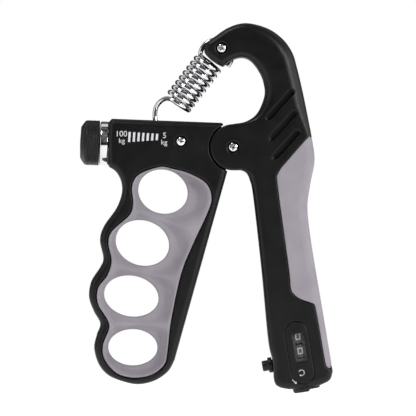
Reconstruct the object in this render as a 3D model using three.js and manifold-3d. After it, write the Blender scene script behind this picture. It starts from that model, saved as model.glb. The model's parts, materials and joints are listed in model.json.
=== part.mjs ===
// Adjustable hand grip tester: a palm handle with a gooseneck, a finger handle with four finger
// rings, a tension spring between them, a spindle that sets the load and a repetition counter.
// Millimetres, +Z up, X to the palm side, the front faces -Y. The origin is under the middle.
import * as THREE from 'three';
import { mergeVertices } from 'three/addons/utils/BufferGeometryUtils.js';
import Module from 'manifold-3d';

const wasm = await Module();
wasm.setup();

// ---- Driving dimensions ----
const HALF_DEPTH = 11; // both handles are 22 mm thick
const SPLIT = 0.1; // each half shell stops this far from the middle plane
const GAP = 0.3; // clearance between pieces that meet
const PALM_ROUND = 3;
const FINGER_ROUND = 2.2;

const PIVOT = { x: 12.15, z: 110.8 };
const LOBE_RADIUS = 10.35;
const HEAD_ARC_RADIUS = 10.95;
const TONGUE_RADIUS = 9.9;
const TONGUE_HALF = 4.3;

const HOOK_SCREW = { x: 6.93, z: 155.25 };
const EYE = { x: 4.45, z: 152.1, radius: 7.1 }; // the spring's upper loop
const HEAD_SCREW = { x: -11.34, z: 113.4 };
const FINGER_BACK_SCREW = { x: 3.2, z: 99.4 };
const PALM_BACK_SCREWS = [
  { name: 'palm_back_screw_top', x: 33.5, z: 143 },
  { name: 'palm_back_screw_middle', x: 30.6, z: 62 },
  { name: 'palm_back_screw_bottom', x: 49.3, z: 8.8 },
];

const HEAD_TILT = THREE.MathUtils.degToRad(2.1); // the spindle falls towards the pivot
const HEAD_ORIGIN = new THREE.Vector3(-52.2, 0, 112.9);
const KNOB_RADIUS = 10.15;
const COLLAR_RADIUS = 9.75;
const SPINDLE_RADIUS = 2.2;
const CHAMBER = { start: 12.4, end: 37.9, half: 6.2, bottom: -4.6, top: 9.4 };
const CARRIAGE = { start: 28.3, end: 37.3, half: 5.8, bottom: -4.2, top: 9.1 };
const CARRIAGE_PIN = { x: 32.83, z: 6.51, radius: 1.3 };

const WIRE_RADIUS = 1.05;
const COIL_RADIUS = 5.85;
const COIL_TURNS = 8.5;
const COIL_TOP = new THREE.Vector3(1.3, 0, 149.1);
const COIL_BOTTOM = new THREE.Vector3(-12.9, 0, 130.5);
const MIDDLE_TURNS = { from: 5.1, to: 5.9 };

const PAD_WALL = 2.6;
const PAD_HALF = 11.5;
const CORE_HALF = 8.9;

const COUNTER_TILT = THREE.MathUtils.degToRad(-9.6); // the palm handle leans outward
const COUNTER_ORIGIN = new THREE.Vector3(41.9, 0, 18.7);
const BEZEL = { width: 10.5, length: 28, front: -11.5, back: -10.3 };
const WINDOW = { x: 0.4, z: 2.1, width: 5.4, length: 12.6 };
const WHEEL = { x: 0.4, y: -4, radius: 4.9, width: 6.2, bore: 1.9 };
const TENS_Z = 7.1;
const UNITS_Z = 0.6;
const RATCHET_Z = -3.6;
const RESET_RADIUS = 6.1;
const BUTTON = { z: -3.6, radius: 2.4, face: -17.55, wall: -13.5 };

// ---- Materials ----
const blackPlastic = new THREE.MeshStandardMaterial({ color: 0x1f1f20, roughness: 0.45 });
const gripRubber = new THREE.MeshStandardMaterial({ color: 0x98929a, roughness: 0.7 });
const chrome = new THREE.MeshStandardMaterial({ color: 0xd8d8da, roughness: 0.12, metalness: 1 });
const steel = new THREE.MeshStandardMaterial({ color: 0x9c9ea1, roughness: 0.35, metalness: 1 });
const brass = new THREE.MeshStandardMaterial({ color: 0xb89a55, roughness: 0.35, metalness: 1 });
const whiteNylon = new THREE.MeshStandardMaterial({ color: 0xd9d9d4, roughness: 0.5 });
const smokedWindow = new THREE.MeshStandardMaterial({ color: 0x3a3a3e, roughness: 0.15 });

// ---- Outline helpers: points are (x, z) pairs in the plane of the handles ----
function spline(pairs, stepsPerSpan = 2) {
  const curve = new THREE.SplineCurve(pairs.map(([x, z]) => new THREE.Vector2(x, z)));
  return curve.getPoints((pairs.length - 1) * stepsPerSpan);
}

function arc(centre, radius, fromDegrees, toDegrees, steps) {
  const points = [];
  for (let i = 0; i <= steps; i += 1) {
    const angle = THREE.MathUtils.degToRad(fromDegrees + ((toDegrees - fromDegrees) * i) / steps);
    const x = centre.x + radius * Math.cos(angle);
    points.push(new THREE.Vector2(x, centre.z + radius * Math.sin(angle)));
  }
  return points;
}

function straight(...pairs) {
  return pairs.map(([x, z]) => new THREE.Vector2(x, z));
}

function capsule(width, length, steps = 4) {
  const reach = (length - width) / 2;
  const top = arc({ x: 0, z: reach }, width / 2, 0, 180, steps);
  const bottom = arc({ x: 0, z: -reach }, width / 2, 180, 360, steps);
  return new THREE.Shape([...top, ...bottom]);
}

// ---- Solid helpers ----
// A plate with its outline in X and Z and its thickness from y = front to y = back.
function plate(shape, front, back, { round = 0, inset = 0, steps = 2 } = {}) {
  const edge = round > 0 ? round : 0.15;
  const bevelled = round > 0 || inset !== 0;
  const geometry = new THREE.ExtrudeGeometry(shape, {
    depth: back - front - (bevelled ? 2 * edge : 0),
    bevelEnabled: bevelled,
    bevelThickness: edge,
    bevelSize: edge,
    bevelOffset: -edge - inset,
    bevelSegments: round > 0 ? steps : 1,
    curveSegments: 8,
  });
  geometry.rotateX(Math.PI / 2);
  geometry.translate(0, back - (bevelled ? edge : 0), 0);
  return geometry;
}

// A round bar along Y from y = front to y = back.
function barY(centre, radius, front, back, segments = 14) {
  const geometry = new THREE.CylinderGeometry(radius, radius, back - front, segments);
  return geometry.translate(centre.x, (front + back) / 2, centre.z);
}

// A round bar along X.
function barX(from, to, radius, { y = 0, z = 0, segments = 14 } = {}) {
  const geometry = new THREE.CylinderGeometry(radius, radius, to - from, segments);
  return geometry.rotateZ(Math.PI / 2).translate((from + to) / 2, y, z);
}

// A round bar along Z.
function barZ(from, to, radius, { x = 0, y = 0, segments = 14 } = {}) {
  const geometry = new THREE.CylinderGeometry(radius, radius, to - from, segments);
  return geometry.rotateX(Math.PI / 2).translate(x, y, (from + to) / 2);
}

function block(xRange, yRange, zRange) {
  const size = [xRange, yRange, zRange].map(([low, high]) => high - low);
  const middle = [xRange, yRange, zRange].map(([low, high]) => (low + high) / 2);
  return new THREE.BoxGeometry(...size).translate(...middle);
}

function toSolid(geometry) {
  const bare = geometry.clone();
  bare.deleteAttribute('normal');
  bare.deleteAttribute('uv');
  const merged = mergeVertices(bare, 1e-4);
  const vertProperties = merged.attributes.position.array;
  const triVerts = new Uint32Array(merged.index.array);
  return new wasm.Manifold(new wasm.Mesh({ numProp: 3, vertProperties, triVerts }));
}

function toGeometry(solid) {
  const mesh = solid.getMesh();
  const geometry = new THREE.BufferGeometry();
  geometry.setAttribute('position', new THREE.BufferAttribute(mesh.vertProperties, 3));
  geometry.setIndex(new THREE.BufferAttribute(mesh.triVerts, 1));
  geometry.computeVertexNormals();
  return geometry;
}

function cut(base, ...tools) {
  return tools.reduce((solid, tool) => solid.subtract(toSolid(tool)), base);
}

function join(base, ...additions) {
  return additions.reduce((solid, addition) => solid.add(toSolid(addition)), base);
}

const headFrame = new THREE.Matrix4().makeRotationY(HEAD_TILT).setPosition(HEAD_ORIGIN);
const counterFrame = new THREE.Matrix4().makeRotationY(COUNTER_TILT).setPosition(COUNTER_ORIGIN);
const inHead = (geometry) => geometry.applyMatrix4(headFrame);
const inCounter = (geometry) => geometry.applyMatrix4(counterFrame);

const model = new THREE.Group();
const headGroup = new THREE.Group();
headGroup.applyMatrix4(headFrame);
const counterGroup = new THREE.Group();
counterGroup.applyMatrix4(counterFrame);
model.add(headGroup, counterGroup);

function piece(name, shape, material, parent = model) {
  const geometry = shape.isBufferGeometry ? shape : toGeometry(shape);
  const mesh = new THREE.Mesh(geometry, material);
  mesh.name = name;
  parent.add(mesh);
}

// ---- Outlines ----
const gooseneckOuter = spline([
  [3.2, 160], [10.2, 164.6], [18, 166.5], [27.5, 164.2], [34.3, 159.5], [38.6, 153.5],
  [40.8, 146.6], [43.8, 133.7], [46.8, 118.6],
]);
const palmOuter = spline([
  [47.3, 115.9], [48.7, 105.1], [46.8, 94.3], [45.5, 83.5], [47.3, 67.3], [51.8, 40.3],
  [56.3, 13.3], [56.6, 9.4], [55.2, 6], [50.2, 3.6],
]);
const palmInner = spline([
  [37.1, 2.1], [32.8, 3.1], [30.6, 5.6], [30, 14], [27.9, 24.1], [24.9, 55.6], [21.2, 88.4],
  [19.6, 96.1], [18, 99.3], [15.6, 100.5],
]);
const gooseneckInner = spline([
  [12.6, 121.3], [18, 122.4], [22.9, 126.1], [26.2, 134], [25.5, 140.1], [23.1, 145.3],
  [19.7, 149.4], [16.2, 150.8], [11.8, 149.7], [7.6, 146.8],
]);
const lobe = arc(PIVOT, LOBE_RADIUS, 268, 92, 14);
const hookTip = spline([[4.6, 148.5], [1.6, 150.8], [-0.9, 154], [0.2, 158.2]]);
const palmShape = new THREE.Shape([
  ...gooseneckOuter, ...palmOuter, ...palmInner, ...lobe, ...gooseneckInner, ...hookTip,
]);

const padRegion = new THREE.Shape([
  ...straight([62, 11.8], [62, 116.3], [46.4, 116.3]),
  ...spline([[33.7, 101.7], [31.9, 98.5], [31.7, 95.7], [33.7, 80.4], [37.1, 55.6], [37.8, 47.8]]),
  ...spline([[39.2, 44.9], [42.3, 42.6], [47.6, 40.7], [48.8, 39], [50.8, 28.6], [53.2, 14.6]]),
  ...straight([54.4, 11.4]),
]);

const fingerLeft = spline([
  [-43.5, 101.8], [-40.5, 99.7], [-38.2, 95.4], [-37.9, 90.2], [-40.3, 83.5], [-45.9, 75.4],
  [-47.7, 69.1], [-46.2, 61], [-47.6, 57], [-51.6, 50.6], [-52.6, 43.6], [-50.5, 37.2],
  [-47.6, 31.7], [-49.1, 26.8], [-50.3, 20.6], [-48.2, 13.3], [-43.6, 8.2], [-36, 5.2],
  [-29.6, 4.4], [-22.6, 6.2], [-17, 10.3], [-14.2, 15.2],
]);
const fingerShape = new THREE.Shape([
  ...fingerLeft,
  ...straight([10.6, 103.9], [10.6, 118.5], [7, 121.7]),
  ...straight([-42.4, 123.6], [-43.9, 121.9], [-44.5, 112.5], [-44.3, 103.2]),
]);

const linerShape = new THREE.Shape(spline([
  [-21, 102], [-30.3, 98.6], [-33.4, 93], [-32.9, 86], [-34.5, 80.4], [-42.3, 73.2],
  [-44, 67.6], [-42.6, 60], [-44.4, 53.4], [-48.6, 47.6], [-48.7, 40.6], [-44.6, 33.6],
  [-43.7, 29.4], [-46.4, 22.2], [-45.8, 15.8], [-40.6, 9.6], [-33, 7.3], [-24.6, 8.6],
  [-18.8, 13.2], [-17.3, 19.4], [-15.7, 32.9], [-11.2, 53.8], [-5.9, 67.2], [0.2, 80.2],
  [2.5, 87.8], [0.2, 94.4], [-7.4, 99], [-15.3, 101.2], [-21, 102],
]).slice(0, -1));

const FINGER_HOLES = [
  { x: -19.35, z: 90.7, width: 22.4, height: 19.6, tilt: 15 },
  { x: -28.6, z: 67.6, width: 24.3, height: 20.2, tilt: 15 },
  { x: -33.6, z: 43.8, width: 24.6, height: 18.4, tilt: 10 },
  { x: -32.9, z: 20.9, width: 22, height: 16.4, tilt: 0 },
];
const GRIP_SLOTS = [
  [28.3, 124.2, 38.2, 135.4],
  [29.8, 115.1, 39.5, 125.9],
  [31.1, 106.5, 40.8, 117.3],
];
const SLOT_WIDTH = 2.6;
const SLOT_DEPTH = 1.3;

// ---- Fasteners ----
// A pan-head screw along Y with a cross recess; its head seats at y = seat, facing -Y.
function panScrew(centre, seat, length, shankRadius, headRadius = 2.2) {
  const profile = [
    [0, seat + length], [shankRadius, seat + length], [shankRadius, seat], [headRadius, seat],
    [headRadius, seat - 0.7], [headRadius * 0.6, seat - 1.4], [0, seat - 1.5],
  ].map(([r, y]) => new THREE.Vector2(r, y));
  const turned = new THREE.LatheGeometry(profile.reverse(), 12);
  const recess = [[0.32, 1.2], [1.2, 0.32]].map(([halfX, halfZ]) =>
    block([-halfX, halfX], [seat - 2, seat - 0.6], [-halfZ, halfZ]));
  return toGeometry(cut(toSolid(turned), ...recess)).translate(centre.x, 0, centre.z);
}

function hexNut(centre, front, back, boreRadius, acrossFlats = 5.5) {
  const nut = barY(centre, acrossFlats / Math.sqrt(3), front, back, 6);
  return cut(toSolid(nut), barY(centre, boreRadius, front - 1, back + 1, 12));
}

function sleeveY(centre, outer, inner, front, back) {
  return cut(toSolid(barY(centre, outer, front, back)), barY(centre, inner, front - 1, back + 1));
}

const THROUGH_SCREWS = [
  { name: 'pivot', centre: PIVOT, shank: 1.5 },
  { name: 'hook', centre: HOOK_SCREW, shank: 1.2 },
  { name: 'head', centre: HEAD_SCREW, shank: 1.5 },
];
const HEAD_SEAT = -9.2;
const NUT_SEAT = 7.9;

// The counterbore, bore and nut pocket that a through screw needs.
function throughScrewCuts({ centre, shank }) {
  return [
    barY(centre, 2.65, -HALF_DEPTH - 1, HEAD_SEAT + GAP),
    barY(centre, shank + GAP, -HALF_DEPTH, HALF_DEPTH),
    barY(centre, 3.6, NUT_SEAT - GAP, HALF_DEPTH + 1),
  ];
}

function backScrewCuts(centre) {
  return [
    barY(centre, 2.65, -HEAD_SEAT - GAP, HALF_DEPTH + 1),
    barY(centre, 1.6, -4.4, HALF_DEPTH),
  ];
}

function backScrew(centre) {
  const screw = panScrew({ x: 0, z: 0 }, HEAD_SEAT, 13, 1.25);
  return screw.rotateZ(Math.PI).translate(centre.x, 0, centre.z);
}

// ---- Palm handle ----
function gripSlot([x1, z1, x2, z2], front, back) {
  const length = Math.hypot(x2 - x1, z2 - z1) + SLOT_WIDTH;
  const cutter = plate(capsule(SLOT_WIDTH, length), front, back);
  cutter.rotateY(Math.atan2(x2 - x1, z2 - z1));
  return cutter.translate((x1 + x2) / 2, 0, (z1 + z2) / 2);
}

function counterCuts() {
  const pocketBack = 3.4;
  return [
    plate(capsule(BEZEL.width + 2 * GAP, BEZEL.length + 2 * GAP, 7), -13, BEZEL.back + GAP),
    block([-3.3, 4.1], [-12, -6], [-5.2, 9.4]),
    block([-6.3, 7.1], [-9.4, pocketBack], [-7.4, 12.9]),
    barZ(-19, -6, 1.9, { x: WHEEL.x, y: WHEEL.y }),
    barZ(-22, -14.9, RESET_RADIUS + 0.4, { x: WHEEL.x, y: WHEEL.y, segments: 20 }),
    barX(-20, -5, BUTTON.radius + 0.3, { z: BUTTON.z }),
    barX(-22, BUTTON.wall + 0.9, 3.45 + GAP, { z: BUTTON.z }),
    barX(-12.2, -5, 3.3, { z: BUTTON.z }),
  ].map(inCounter);
}

function palmBody() {
  const frame = toSolid(plate(palmShape, -HALF_DEPTH, HALF_DEPTH, { round: PALM_ROUND }));
  const open = cut(frame, plate(padRegion, -14, 14, { inset: -GAP }));
  const core = plate(palmShape, -CORE_HALF, CORE_HALF, { inset: PAD_WALL + GAP });
  const tongueHalf = TONGUE_HALF + GAP;
  const slotHalf = WIRE_RADIUS + 0.55;
  return cut(
    join(open, core),
    barY(PIVOT, LOBE_RADIUS + 0.1, -tongueHalf, tongueHalf, 32),
    block([0, PIVOT.x + 5], [-tongueHalf, tongueHalf], [PIVOT.z - 12, PIVOT.z - 7]),
    barY(EYE, EYE.radius + WIRE_RADIUS + 0.6, -slotHalf, slotHalf, 20),
    ...throughScrewCuts(THROUGH_SCREWS[0]),
    ...throughScrewCuts(THROUGH_SCREWS[1]),
    ...PALM_BACK_SCREWS.flatMap(backScrewCuts),
    ...GRIP_SLOTS.map((slot) => gripSlot(slot, -HALF_DEPTH - 1, -HALF_DEPTH + SLOT_DEPTH)),
    ...GRIP_SLOTS.map((slot) => gripSlot(slot, HALF_DEPTH - SLOT_DEPTH, HALF_DEPTH + 1)),
    ...counterCuts(),
  );
}

const FRONT_HALF = block([-90, 90], [-20, -SPLIT], [-10, 190]);
const BACK_HALF = block([-90, 90], [SPLIT, 20], [-10, 190]);

function addPalmHandle() {
  const body = palmBody();
  piece('palm_shell_front', body.intersect(toSolid(FRONT_HALF)), blackPlastic);
  piece('palm_shell_back', body.intersect(toSolid(BACK_HALF)), blackPlastic);
  const skin = toSolid(plate(palmShape, -PAD_HALF, PAD_HALF, { round: 3.6, steps: 3 }));
  const inside = plate(palmShape, -CORE_HALF - GAP, CORE_HALF + GAP, { inset: PAD_WALL });
  const region = toSolid(plate(padRegion, -14, 14));
  piece('palm_pad', cut(skin.intersect(region), inside), gripRubber);
  for (const screw of PALM_BACK_SCREWS) piece(screw.name, backScrew(screw), steel);
}

function addThroughScrews() {
  for (const { name, centre, shank } of THROUGH_SCREWS) {
    piece(name + '_screw', panScrew(centre, HEAD_SEAT, NUT_SEAT + 2.2 - HEAD_SEAT, shank), chrome);
    piece(name + '_nut', hexNut(centre, NUT_SEAT, NUT_SEAT + 2.4, shank + GAP), steel);
  }
  piece('pivot_bush', sleeveY(PIVOT, 3, 1.8, -TONGUE_HALF, TONGUE_HALF), brass);
  piece('spring_eye_bush', sleeveY(HOOK_SCREW, 1.85, 1.45, -1.4, 1.4), steel);
}

// ---- Repetition counter, built along the leaning palm handle ----
function digitWheel(centreZ) {
  const half = WHEEL.width / 2 - 0.15;
  const wheel = barZ(-half, half, WHEEL.radius, { x: WHEEL.x, y: WHEEL.y, segments: 20 });
  const bore = barZ(-9, 9, WHEEL.bore, { x: WHEEL.x, y: WHEEL.y, segments: 12 });
  return toGeometry(cut(toSolid(wheel), bore)).translate(0, 0, centreZ);
}

function ratchetWheel() {
  const teeth = 10;
  const points = [];
  for (let i = 0; i < teeth; i += 1) {
    const angle = (2 * Math.PI * i) / teeth;
    points.push(new THREE.Vector2(4.5 * Math.cos(angle), 4.5 * Math.sin(angle)));
    points.push(new THREE.Vector2(3.5 * Math.cos(angle + 0.08), 3.5 * Math.sin(angle + 0.08)));
  }
  const wheel = new THREE.ExtrudeGeometry(new THREE.Shape(points), { depth: 1.4, bevelEnabled: false });
  const bore = barZ(-9, 9, WHEEL.bore, { segments: 12 });
  return toGeometry(cut(toSolid(wheel), bore)).translate(WHEEL.x, WHEEL.y, RATCHET_Z - 0.7);
}

function counterFrameSolid() {
  const outside = block([-5.9, 6.7], [-8.9, 3], [-6.9, 12.5]);
  const inside = block([-8, 9], [-12, 1.7], [-5.2, 11]);
  const notch = barX(-8, 0, 3.4, { z: BUTTON.z });
  return cut(toSolid(outside), inside, notch, barZ(-9, 14, 1.85, { x: WHEEL.x, y: WHEEL.y }));
}

function addCounter() {
  const rim = capsule(BEZEL.width, BEZEL.length, 7);
  const bezel = toSolid(plate(rim, BEZEL.front, BEZEL.back, { round: 0.5 }));
  const { x, z, width, length } = WINDOW;
  const opening = block([x - width / 2, x + width / 2], [-13, -9], [z - length / 2, z + length / 2]);
  piece('counter_bezel', cut(bezel, opening), blackPlastic, counterGroup);
  piece('counter_window', block([-2.9, 3.7], [-10.1, -9.5], [-4.9, 9.1]), smokedWindow, counterGroup);
  piece('counter_frame', counterFrameSolid(), steel, counterGroup);
  piece('digit_wheel_units', digitWheel(UNITS_Z), whiteNylon, counterGroup);
  piece('digit_wheel_tens', digitWheel(TENS_Z), whiteNylon, counterGroup);
  piece('ratchet_wheel', ratchetWheel(), brass, counterGroup);
}

function addResetKnob() {
  const disc = barZ(-17.1, -15.2, RESET_RADIUS, { x: WHEEL.x, y: WHEEL.y, segments: 24 });
  const tab = barZ(-18, -16.6, RESET_RADIUS, { x: WHEEL.x, y: WHEEL.y, segments: 24 });
  const side = block([-9, WHEEL.x + 1.5], [-12, 4], [-19, -16]);
  const knob = toSolid(disc).add(toSolid(tab).intersect(toSolid(side)));
  const bore = barZ(-16.4, -14, 1.8, { x: WHEEL.x, y: WHEEL.y });
  piece('reset_knob', cut(knob, bore), blackPlastic, counterGroup);
  const shaft = barZ(-16.1, 12.3, 1.5, { x: WHEEL.x, y: WHEEL.y });
  piece('reset_shaft', shaft, steel, counterGroup);
}

function addButton() {
  const { face, wall, radius, z } = BUTTON;
  const stem = toSolid(barX(face, -11.9, radius, { z }));
  const plunger = join(stem, barX(-12.1, -10.9, 2.9, { z }), barX(-11, -7.6, 1.1, { z, segments: 12 }));
  piece('count_button', plunger, blackPlastic, counterGroup);
  const ring = toSolid(barX(wall - 1.3, wall + 0.6, 3.45, { z, segments: 16 }));
  piece('button_bush', cut(ring, barX(-20, -8, radius + 0.3, { z })), blackPlastic, counterGroup);
  const coil = toSolid(barX(-10.6, -7.3, 2.4, { z, segments: 12 }));
  piece('button_spring', cut(coil, barX(-12, -6, 1.5, { z, segments: 12 })), steel, counterGroup);
}

// ---- Finger handle ----
function fingerHole({ x, z, width, height, tilt }) {
  const flare = (r) => r + 0.085;
  const profile = [
    [0, -14], [flare(0.56), -14], [flare(0.5), -10.4], [0.515, -6.4], [0.5, 0],
    [0.515, 6.4], [flare(0.5), 10.4], [flare(0.56), 14], [0, 14],
  ].map(([r, y]) => new THREE.Vector2(r, y));
  const cutter = new THREE.LatheGeometry(profile, 24);
  cutter.scale(width, 1, height);
  cutter.rotateY(THREE.MathUtils.degToRad(tilt));
  return cutter.translate(x, 0, z);
}

function headCuts() {
  const { start, end, half, bottom, top } = CHAMBER;
  return [
    block([start, end], [-half, half], [bottom, top]),
    block([start + 1.2, end], [-2.6, 2.6], [bottom, 16]),
    barX(2, start + 1, SPINDLE_RADIUS + GAP),
    barX(2, 8.5, COLLAR_RADIUS + GAP, { segments: 32 }),
  ].map(inHead);
}

function fingerBody() {
  const frame = toSolid(plate(fingerShape, -HALF_DEPTH, HALF_DEPTH, { round: FINGER_ROUND }));
  const web = new THREE.Shape([
    ...straight([PIVOT.x, PIVOT.z]),
    ...arc(PIVOT, HEAD_ARC_RADIUS + 2, 120, 252, 10),
  ]);
  const tongue = barY(PIVOT, TONGUE_RADIUS, -TONGUE_HALF, TONGUE_HALF, 28);
  const head = cut(frame, barY(PIVOT, HEAD_ARC_RADIUS, -14, 14, 48));
  return cut(
    join(head, plate(web, -TONGUE_HALF, TONGUE_HALF), tongue),
    plate(linerShape, -14, 14, { inset: -0.35 }),
    barY(PIVOT, 3 + GAP, -8, 8),
    ...throughScrewCuts(THROUGH_SCREWS[2]),
    ...backScrewCuts(FINGER_BACK_SCREW),
    ...headCuts(),
  );
}

function addFingerHandle() {
  const body = fingerBody();
  piece('finger_shell_front', body.intersect(toSolid(FRONT_HALF)), blackPlastic);
  piece('finger_shell_back', body.intersect(toSolid(BACK_HALF)), blackPlastic);
  const liner = toSolid(plate(linerShape, -11.3, 11.3, { round: 0.8, steps: 1 }));
  piece('finger_liner', cut(liner, ...FINGER_HOLES.map(fingerHole)), gripRubber);
  piece('finger_back_screw', backScrew(FINGER_BACK_SCREW), steel);
}

// ---- Load adjuster, built along the spindle ----
function addAdjuster() {
  const collar = new THREE.LatheGeometry([
    [2.5, 4.4], [9.2, 4.4], [COLLAR_RADIUS, 4.9], [COLLAR_RADIUS, 7.7], [9.2, 8.2], [2.5, 8.2], [2.5, 4.4],
  ].map(([r, x]) => new THREE.Vector2(r, x)), 24).rotateZ(-Math.PI / 2);
  piece('collar_sleeve', collar, chrome, headGroup);

  const knob = new THREE.LatheGeometry([
    [2.5, -2.2], [6.4, -2.2], [6.4, -3.8], [7.2, -4.35], [9.4, -3.1], [KNOB_RADIUS, -1.6],
    [KNOB_RADIUS, 3.7], [9.7, 4.1], [2.5, 4.1], [2.5, -2.2],
  ].map(([r, x]) => new THREE.Vector2(r, x)), 28).rotateZ(-Math.PI / 2);
  piece('adjuster_knob', knob, blackPlastic, headGroup);
  const cap = new THREE.LatheGeometry([
    [0, -4.6], [5, -4.4], [6.1, -3.8], [6.1, -2.5], [0, -2.5],
  ].map(([r, x]) => new THREE.Vector2(r, x)), 20).rotateZ(-Math.PI / 2);
  piece('knob_cap', cap, blackPlastic, headGroup);

  const spindle = toSolid(barX(-2.2, 37.5, SPINDLE_RADIUS));
  piece('load_spindle', join(spindle, barX(14, 15.2, 4)), steel, headGroup);
  const washer = toSolid(barX(12.7, 13.7, 4));
  piece('thrust_washer', cut(washer, barX(10, 15, SPINDLE_RADIUS + GAP)), brass, headGroup);
}

function addCarriage() {
  const { start, end, half, bottom, top } = CARRIAGE;
  const { x, z, radius } = CARRIAGE_PIN;
  const slot = block([start - 1, end + 1], [-1.5, 1.5], [2.7, top + 1]);
  const pinHole = barY({ x, z }, radius + GAP, -half - 1, half + 1);
  const bore = barX(start - 1, end + 1, SPINDLE_RADIUS + GAP);
  const body = toSolid(block([start, end], [-half, half], [bottom, top]));
  piece('carriage_block', cut(body, slot, pinHole, bore), steel, headGroup);
  piece('carriage_pin', barY({ x, z }, radius, -half + 0.2, half - 0.2), chrome, headGroup);
}

// ---- Tension spring ----
const coilAxis = COIL_BOTTOM.clone().sub(COIL_TOP);
const coilSide = new THREE.Vector3(coilAxis.z, 0, -coilAxis.x).normalize();
const START_ANGLE = Math.PI / 2;
const WIRE_JOIN = 0.03; // gap between the lengths of wire, in turns

function coilPoint(turn) {
  const angle = START_ANGLE + 2 * Math.PI * turn;
  const point = COIL_TOP.clone().addScaledVector(coilAxis, turn / COIL_TURNS);
  point.addScaledVector(coilSide, COIL_RADIUS * Math.cos(angle));
  point.y = COIL_RADIUS * Math.sin(angle);
  return point;
}

function coilPoints(fromTurn, toTurn) {
  const steps = Math.round((toTurn - fromTurn) * 16);
  const points = [];
  for (let i = 0; i <= steps; i += 1) {
    points.push(coilPoint(fromTurn + ((toTurn - fromTurn) * i) / steps));
  }
  return points;
}

// The upper loop: round the hook screw in the middle plane, then out to the back of the coil.
function eyePoints() {
  const loop = arc(EYE, EYE.radius, -42, 168, 16).map(({ x, y }) => new THREE.Vector3(x, 0, y));
  const crossing = [[-2.5, 1.9, 152.1], [-1, 4.6, 150.7]].map((p) => new THREE.Vector3(...p));
  return [...loop, ...crossing];
}

// The lower hook: from the front of the coil over to the left, down, and under the carriage pin.
function hookPoints() {
  return [
    [-15.4, -4.9, 132.2], [-18.1, -2.7, 132.7], [-20.7, -0.9, 131.3], [-22.5, -0.1, 128.9],
    [-23.1, 0, 126], [-22.9, 0, 123], [-22.3, 0, 120.4], [-21.6, 0, 118], [-20.9, 0, 116.4],
    [-19.2, 0, 115.7], [-17.4, 0, 116.4], [-16.7, 0, 117.9],
  ].map((p) => new THREE.Vector3(...p));
}

function wire(points, steps, sides = 6) {
  const ring = [];
  for (let i = 0; i < sides; i += 1) {
    const angle = (2 * Math.PI * i) / sides;
    ring.push(new THREE.Vector2(WIRE_RADIUS * Math.cos(angle), WIRE_RADIUS * Math.sin(angle)));
  }
  const extrudePath = new THREE.CatmullRomCurve3(points);
  return new THREE.ExtrudeGeometry(new THREE.Shape(ring), { steps, extrudePath, bevelEnabled: false });
}

function addSpring() {
  const { from, to } = MIDDLE_TURNS;
  const loop = [...eyePoints(), coilPoint(-WIRE_JOIN)];
  const lower = [...coilPoints(to + WIRE_JOIN, COIL_TURNS), ...hookPoints()];
  piece('spring_loop', wire(loop, 14), chrome);
  piece('spring_upper', wire(coilPoints(0, from - WIRE_JOIN), 66), chrome);
  piece('spring_middle', wire(coilPoints(from, to), 11), chrome);
  piece('spring_lower', wire(lower, 54), chrome);
}

addPalmHandle();
addThroughScrews();
addCounter();
addResetKnob();
addButton();
addFingerHandle();
addAdjuster();
addCarriage();
addSpring();

export default model;
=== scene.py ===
import json
import math

import bpy
import numpy as np
from mathutils import Matrix, Vector


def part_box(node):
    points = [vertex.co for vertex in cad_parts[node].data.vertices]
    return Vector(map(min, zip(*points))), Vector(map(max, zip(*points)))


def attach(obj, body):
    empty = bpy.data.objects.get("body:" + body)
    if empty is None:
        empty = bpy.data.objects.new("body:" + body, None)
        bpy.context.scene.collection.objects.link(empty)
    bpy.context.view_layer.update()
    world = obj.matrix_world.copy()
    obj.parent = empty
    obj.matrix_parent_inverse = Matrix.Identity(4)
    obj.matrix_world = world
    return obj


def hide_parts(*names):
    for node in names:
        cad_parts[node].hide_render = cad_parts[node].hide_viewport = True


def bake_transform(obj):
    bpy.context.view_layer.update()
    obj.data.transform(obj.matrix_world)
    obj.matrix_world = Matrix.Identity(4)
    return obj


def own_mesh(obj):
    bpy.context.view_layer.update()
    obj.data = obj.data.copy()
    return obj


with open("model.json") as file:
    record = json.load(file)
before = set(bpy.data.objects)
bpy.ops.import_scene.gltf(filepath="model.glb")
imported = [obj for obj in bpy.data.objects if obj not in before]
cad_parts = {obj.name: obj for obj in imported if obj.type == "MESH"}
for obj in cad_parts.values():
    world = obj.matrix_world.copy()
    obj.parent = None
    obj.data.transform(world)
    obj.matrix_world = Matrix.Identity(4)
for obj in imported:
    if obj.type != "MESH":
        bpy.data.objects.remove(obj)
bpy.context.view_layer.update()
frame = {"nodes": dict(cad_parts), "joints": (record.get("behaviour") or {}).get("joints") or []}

MM = 0.001


# ---- Centres and tilts, taken from the frame ----
def node_centre(node):
    """The middle of a node's box, as (x, z) in millimetres."""
    low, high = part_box(node)
    return (low[0] + high[0]) / 2 / MM, (low[2] + high[2]) / 2 / MM


def joint_frame(place_from, tilt_from):
    """A joint's place, in millimetres, and the tilt about Y of another joint's axis."""
    joints = {joint["name"]: joint for joint in frame["joints"]}
    axis = joints[tilt_from]["axis"]
    sign = 1 if axis[0] < 0 else -1
    return Vector(joints[place_from]["pos_m"]) / MM, sign * math.asin(abs(axis[2]))


PIVOT = node_centre("pivot_screw")
HOOK_SCREW = node_centre("hook_screw")
HEAD_SCREW = node_centre("head_screw")
FINGER_BACK_SCREW = node_centre("finger_back_screw")
PALM_BACK_SCREWS = {
    node: node_centre(node)
    for node in ("palm_back_screw_top", "palm_back_screw_middle", "palm_back_screw_bottom")
}
HEAD_ORIGIN, HEAD_TILT = joint_frame("load_adjust", "load_adjust")
UNITS_ORIGIN, COUNTER_TILT = joint_frame("units_count", "count_press")

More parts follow.
